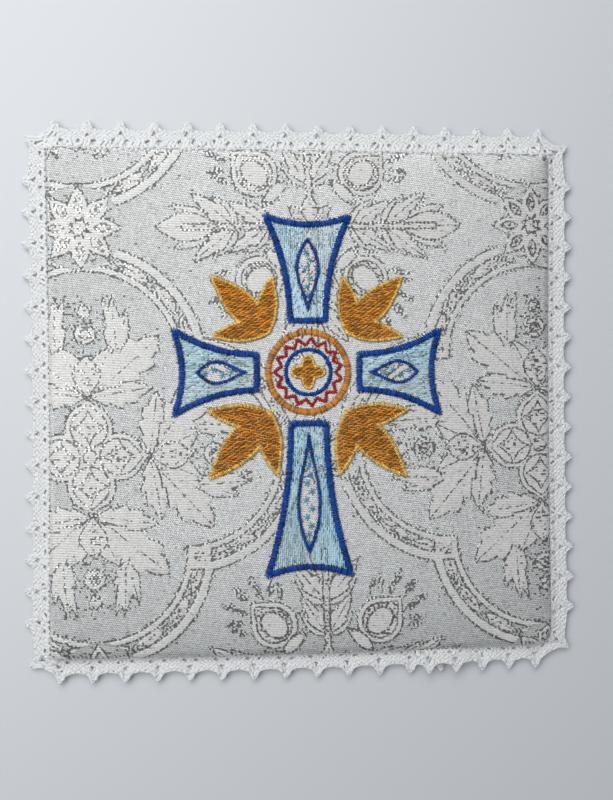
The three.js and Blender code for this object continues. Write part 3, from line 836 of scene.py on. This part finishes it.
def fill(inside, box, degrees, gap, length, overlap=0.0, wander=0.0):
    """Starts and ends of rows of stitches in a direction, each row shifted against the last and its stitches
    wandering a little off it, cut to where inside(x, y) holds and then drawn out by an overlap."""
    low, high = box
    levels = np.arange(low[1], high[1], gap)
    firsts = np.arange(low[0] - length, high[0], length)
    row, first = np.meshgrid(np.arange(len(levels)), firsts, indexing="ij")
    begin = first + length * ((FILL_SHIFT * row) % 1.0)
    begin = begin + FILL_START_UNEVEN * length * random.random(row.shape)
    share = np.linspace(0, 1, FILL_CHECKS)
    x = begin.ravel()[:, None] + length * share
    drift = random.normal(0, FILL_ROW_UNEVEN, (row.size, 1))
    drift = drift + random.normal(0, wander, (row.size, 1)) * (share - 0.5)
    y = levels[row.ravel()][:, None] + drift
    spots = turned(np.stack([x, y], -1), degrees)
    held = inside(spots[..., 0], spots[..., 1])
    first_in, last_in = held.argmax(1), FILL_CHECKS - 1 - held[:, ::-1].argmax(1)
    keep = held.any(1) & (last_in > first_in)
    picked = np.arange(len(spots))[keep]
    starts, ends = spots[picked, first_in[keep]], spots[picked, last_in[keep]]
    over = overlap * unit(ends - starts)
    return starts - over, ends + over


def arm_half_width(x, length):
    """Half the arm's width: the neck's, and a power of the share of the length towards the flare's."""
    share = np.clip((x - ARM_ROOT) / (length - ARM_ROOT), 0.0, 1.2)
    return ARM_NECK + (ARM_FLARE - ARM_NECK) * share ** FLARE_POWER


def arm_end(y, length):
    """How far the arm reaches at a place across it: its end is hollowed by a parabola."""
    return length - ARM_END_HOLLOW * (1 - (y / ARM_FLARE) ** 2)


def arm_contour(length):
    """Closed outline of an arm along +X: flared sides, a hollowed end and a straight root."""
    x = np.linspace(ARM_ROOT, length, 60)
    side = np.stack([x, arm_half_width(x, length)], 1)
    y = np.linspace(ARM_FLARE, -ARM_FLARE, 40)[1:-1]
    end = np.stack([arm_end(y, length), y], 1)
    y = np.linspace(-ARM_NECK, ARM_NECK, 16)[1:-1]
    root = np.stack([np.full(len(y), ARM_ROOT), y], 1)
    return np.vstack([side, end, (side * [1, -1])[::-1], root])


def dart_half_width(x, length):
    """Half the dart's width: a sine of a power of the share of its length."""
    share = np.clip((x - DART_FROM) / (length - DART_END - DART_FROM), 0.0, 1.0)
    return DART_HALF * np.sin(np.pi * share ** DART_POWER)


def dart_contour(length):
    """Closed outline of the dart inside an arm along +X."""
    x = np.linspace(DART_FROM, length - DART_END, 40)
    side = np.stack([x, dart_half_width(x, length)], 1)
    return np.vstack([side, (side * [1, -1])[::-1][1:-1]])


def on_cross(pair, degrees=0.0, scale=1.0, root=0.0):
    """Starts and ends of stitches scaled, moved out by a root and turned about the cross's centre."""
    return [turned(ends * scale + [root, 0.0], degrees) + CROSS_CENTRE for ends in pair]


royal, pale, stars = [], [], []
for degrees, length in ARMS.values():

    def in_field(x, y, length=length):
        """True in the arm's field, away from its dart."""
        clear = (x > FIELD_FROM) & (x < arm_end(y, length) - FIELD_INSET)
        clear = clear & (np.abs(y) < arm_half_width(x, length) - FIELD_INSET)
        return clear & (np.abs(y) > dart_half_width(x, length) + DART_CLEAR)

    royal.append(on_cross(satin(arm_contour(length), BORDER_WIDTH, BORDER_SPACING), degrees))
    royal.append(on_cross(satin(dart_contour(length), DART_WIDTH, BORDER_SPACING), degrees))
    arm_box = ((ARM_ROOT, -ARM_FLARE), (length, ARM_FLARE))
    pale.append(on_cross(fill(in_field, arm_box, 0.0, FIELD_GAP, FIELD_LENGTH), degrees))
    for number, x in enumerate(np.arange(STARS_FROM, length - STARS_END, STAR_SPACING)):
        room = max(dart_half_width(x, length) - STAR_ROOM, 0.0)
        middle = np.array([x, room * (0.5 if number % 2 else -0.5)])
        rays = np.array([turned(np.array([RAY_LENGTH, 0.0]), turn) for turn in RAY_TURNS])
        stars.append(on_cross((middle - rays, middle + rays), degrees))


def thread_material(name, colour, roughness, metallic=0.0, depth=0.35, gloss=0.28):
    """Glossy thread, up to a depth darker or lighter at random from stitch to stitch, painted in shade at
    each stitch's sunk ends and lit along its raised middle; its ply a bump.
    """
    material, shade = new_material(name, Roughness=roughness, Metallic=metallic, Specular_IOR_Level=gloss)
    ply = shade.noise(shade.place(), 5.0)
    # Random tone and ply, with painted shade towards each stitch's sunk ends and a painted highlight along
    # its raised middle.
    share = shade.attribute("tone") * 0.65 + ply * 0.45 + shade.attribute("middle") * 0.5 - 0.35
    dark = [part * (1.0 - depth) for part in colour] + [1.0]
    light = [min(1.0, part * (1.0 + depth)) for part in colour] + [1.0]
    shade.surface(Base_Color=share.rise(0.0, 1.0).mix(dark, light), Normal=shade.bump(ply, 0.35, 0.06))
    return material


def sew(name, groups, material, height, radius, dip=0.22, nodes=(), slot=None):
    """Makes one object of groups of stitches, rides it on the pall and hides the model parts it stands for.
    """
    starts, ends = (np.concatenate([group[part] for group in groups]) for part in (0, 1))
    made = stitches(name, starts, ends, height, radius, dip)
    made.data.materials.append(material)
    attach(made, "root")
    if nodes:
        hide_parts(*nodes)


borders, fields = ([f"arm_{part}_{name}" for name in ARMS] for part in ("border", "field"))
royal_thread = thread_material("royal_thread", (0.0025, 0.043, 0.240), 0.36, depth=0.9, gloss=0.12)
pale_thread = thread_material("pale_thread", (0.33, 0.55, 0.66), 0.45, depth=0.45)
turquoise_thread = thread_material("turquoise_thread", (0.04, 0.28, 0.45), 0.42)
sew("royal_satin", royal, royal_thread, height=0.70, radius=0.18, nodes=borders, slot="royal_thread")
sew("pale_running_stitch", pale, pale_thread, height=0.16, radius=0.20, nodes=fields, slot="pale_thread")
sew("turquoise_stars", stars, turquoise_thread, height=0.28, radius=0.13)

# ROUNDEL
# A gold satin stitched ring round a narrow royal blue one, a red zigzag on the bare cloth between them, and a
# four-lobed gold flower in the middle: rows of gold fill over an underlay painted dark brown as the shade
# between the rows, with a metallic outline.
RING_RADIUS, RING_SPACING = 12.6, 0.42
BLUE_RADIUS, BLUE_WIDTH, BLUE_SPACING = 7.1, 1.3, 0.34
ZIGZAG_LOW, ZIGZAG_HIGH, ZIGZAG_POINTS, ZIGZAG_WIDTH, ZIGZAG_SPACING = 8.5, 10.9, 15, 1.0, 0.34
FLOWER_RADIUS, FLOWER_LOBING, FLOWER_POINTS = 5.2, 0.24, 120
FLOWER_EDGE_WIDTH, FLOWER_EDGE_SPACING, FLOWER_BOX = 1.0, 0.36, ((-6.0, -6.0), (6.0, 6.0))
FILL_TURN, UNDERLAY_TURN = 5.0, 95.0
GOLD_FILL = {"gap": 0.43, "length": 1.9, "overlap": 0.12, "wander": 0.22}
UNDERLAY_FILL = {"gap": 0.50, "length": 3.0}
RING_STITCH = {"height": 0.5, "radius": 0.18, "slot": "gold_thread"}
FILL_STITCH = {"height": 0.36, "radius": 0.185, "dip": 0.05, "slot": "gold_thread"}
UNDERLAY_STITCH = {"height": 0.06, "radius": 0.28, "dip": 0.05, "slot": "gold_thread"}


def around(radius, angle):
    """Points at a radius, or one radius each, and angles about the origin."""
    return np.stack([radius * np.cos(angle), radius * np.sin(angle)], 1)


def flower_radius(angle):
    """The flower's radius: a mean with a cosine of four turns for its lobes."""
    return FLOWER_RADIUS * (1 - FLOWER_LOBING + FLOWER_LOBING * np.cos(4 * angle))


def in_flower(x, y):
    return np.hypot(x, y) < flower_radius(np.arctan2(y, x))


gold_thread = thread_material("gold_thread", (0.48, 0.195, 0.022), 0.38, depth=0.85)
# The underlay's dark brown is painted shade, seen between the rows of gold fill.
shade_underlay_thread = thread_material("shade_underlay_thread", (0.13, 0.05, 0.006), 0.5)
edge_thread = thread_material("edge_gold_thread", (0.76, 0.45, 0.13), 0.34, metallic=0.45, depth=0.6)
red_thread = thread_material("red_thread", (0.31, 0.012, 0.013), 0.42)
circle = round_angles(160)
zigzag_reach = np.where(np.arange(2 * ZIGZAG_POINTS) % 2 == 0, ZIGZAG_LOW, ZIGZAG_HIGH)
zigzag = around(zigzag_reach, round_angles(2 * ZIGZAG_POINTS))
petals = around(flower_radius(round_angles(FLOWER_POINTS)), round_angles(FLOWER_POINTS))
ring_satin = [on_cross(satin(around(RING_RADIUS, circle), BORDER_WIDTH, RING_SPACING))]
sew("roundel_ring_satin", ring_satin, gold_thread, nodes=["roundel_ring"], **RING_STITCH)
blue_satin = [on_cross(satin(around(BLUE_RADIUS, circle), BLUE_WIDTH, BLUE_SPACING))]
sew("roundel_blue_satin", blue_satin, royal_thread, height=0.42, radius=0.23, slot="royal_thread")
red_satin = [on_cross(satin(zigzag, ZIGZAG_WIDTH, ZIGZAG_SPACING))]
sew("roundel_red_zigzag", red_satin, red_thread, height=0.36, radius=0.23)
flower_under = [on_cross(fill(in_flower, FLOWER_BOX, UNDERLAY_TURN, **UNDERLAY_FILL))]
flower_rows = [on_cross(fill(in_flower, FLOWER_BOX, FILL_TURN, **GOLD_FILL))]
sew("roundel_flower_underlay", flower_under, shade_underlay_thread, **UNDERLAY_STITCH)
sew("roundel_flower_fill", flower_rows, gold_thread, nodes=["roundel_flower"], **FILL_STITCH)
flower_edge = [on_cross(satin(petals, FLOWER_EDGE_WIDTH, FLOWER_EDGE_SPACING))]
sew("roundel_flower_edge", flower_edge, edge_thread, height=0.46, radius=0.23, slot="gold_thread")

# LEAF SPRAYS
# Between the arms, four sprays of three gold leaves: slanting rows of fill stitch over an underlay painted
# dark as the shade between the rows, with a narrow outline in metallic gold thread.
SPRAY_ROOT, SPRAY_BOX = 17.5, ((-28.0, -28.0), (28.0, 28.0))
SPRAYS = {
    # turn, scale
    "upper_right": (45.0, 1.0),
    "lower_right": (-47.0, 1.12),
    "lower_left": (227.0, 1.12),
    "upper_left": (135.0, 1.0),
}
SPRAY_LEAVES = (
    # turn, length, half width, bend
    (0.0, 25.0, 4.2, 0.0),
    (33.0, 17.0, 3.2, 5.0),
    (-33.0, 17.0, 3.2, -5.0),
)
SPRAY_EDGE_WIDTH, SPRAY_EDGE_SPACING = 1.35, 0.42
UNDERLAY_INSET, EDGE_HIDDEN_BY = 0.3, 0.35


def leaf_contour(turn, length, half, bend):
    """Closed outline of a leaf of the spray, by the same formula as the depth inside a leaf."""
    share = np.linspace(0, 1, 50)
    width = half * np.sin(np.pi * share ** LEAF_POWER)
    sides = [np.stack([length * share, bend * share ** 2 + sign * width], 1) for sign in (-1, 1)]
    return turned(np.vstack([sides[0], sides[1][::-1][1:-1]]), turn)


def in_spray(x, y, margin=0.0, leaves=SPRAY_LEAVES):
    """True inside any leaf of a spray, by at least a margin."""
    depths = [leaf(x, y, (0.0, 0.0), *one)[0] for one in leaves]
    return np.max(depths, axis=0) > margin


def well_in_spray(x, y):
    return in_spray(x, y, UNDERLAY_INSET)


gold_under, gold_rows, gold_edges = [], [], []
for degrees, scale in SPRAYS.values():
    under = fill(well_in_spray, SPRAY_BOX, UNDERLAY_TURN - degrees, **UNDERLAY_FILL)
    over = fill(in_spray, SPRAY_BOX, FILL_TURN - degrees, **GOLD_FILL)
    gold_under.append(on_cross(under, degrees, scale, SPRAY_ROOT))
    gold_rows.append(on_cross(over, degrees, scale, SPRAY_ROOT))
    for number, one in enumerate(SPRAY_LEAVES):
        first, last = satin(leaf_contour(*one), SPRAY_EDGE_WIDTH, SPRAY_EDGE_SPACING)
        middle = (first + last) / 2
        others = SPRAY_LEAVES[:number] + SPRAY_LEAVES[number + 1:]
        outer = ~in_spray(middle[:, 0], middle[:, 1], EDGE_HIDDEN_BY, others)
        gold_edges.append(on_cross((first[outer], last[outer]), degrees, scale, SPRAY_ROOT))
spray_nodes = [f"leaf_spray_{name}" for name in SPRAYS]
sew("leaf_spray_underlay", gold_under, shade_underlay_thread, **UNDERLAY_STITCH)
sew("leaf_spray_fill", gold_rows, gold_thread, nodes=spray_nodes, **FILL_STITCH)
sew("leaf_spray_edge", gold_edges, edge_thread, height=0.52, radius=0.20, slot="gold_thread")

# TABLE TOP, LIGHT AND CAMERA
# A plain pale table top, lit by a large soft window at the left, a second one behind and a weak fill from
# the right front, and seen from almost straight above.
TABLE_COLOUR, TABLE_SIDE, TABLE_Z = (0.615, 0.645, 0.685, 1.0), 4.0, -0.0002
SKY_COLOUR, SKY_STRENGTH = (0.95, 0.97, 1.0, 1.0), 0.26
DAYLIGHT = (1.0, 0.99, 0.97)
LIGHTS = (
    # name, place, width and height, power
    ("window", (-0.28, 0.08, 0.40), (0.6, 0.4), 1.8),
    ("back_window", (-0.08, 0.44, 0.41), (0.5, 0.25), 1.45),
    ("fill", (0.32, -0.25, 0.50), (0.2, 0.2), 0.12),
)
LENS_MM, SENSOR_MM, NEAREST = 33.75, 36.0, 0.01
CAMERA_PLACE, CAMERA_DEGREES = (-0.01707, 0.00141, 0.23975), (-0.257, -4.2356, -0.4556)

bpy.ops.mesh.primitive_plane_add(size=TABLE_SIDE, location=(0.0, 0.0, TABLE_Z))
table_top = bpy.context.object
table_top.data.materials.append(new_material("table_top", Base_Color=TABLE_COLOUR, Roughness=0.6)[0])

scene = bpy.context.scene
scene.world = bpy.data.worlds.new("studio")
scene.world.use_nodes = True
sky = scene.world.node_tree.nodes["Background"]
sky.inputs["Color"].default_value = SKY_COLOUR
sky.inputs["Strength"].default_value = SKY_STRENGTH

for name, place, size, power in LIGHTS:
    lamp = bpy.data.lights.new(name, "AREA")
    lamp.shape = "RECTANGLE"
    lamp.size, lamp.size_y = size
    lamp.energy = power
    lamp.color = DAYLIGHT
    holder = add_object(name, lamp)
    holder.location = place
    tilt = math.atan2(math.hypot(place[0], place[1]), place[2])
    holder.rotation_euler = (tilt, 0.0, math.atan2(place[0], -place[1]))

lens = bpy.data.cameras.new("camera")
lens.lens = LENS_MM
lens.sensor_width = SENSOR_MM
lens.clip_start = NEAREST
camera = add_object("camera", lens)
camera.location = CAMERA_PLACE
camera.rotation_euler = [math.radians(degrees) for degrees in CAMERA_DEGREES]
scene.camera = camera
scene.view_settings.view_transform = "Standard"
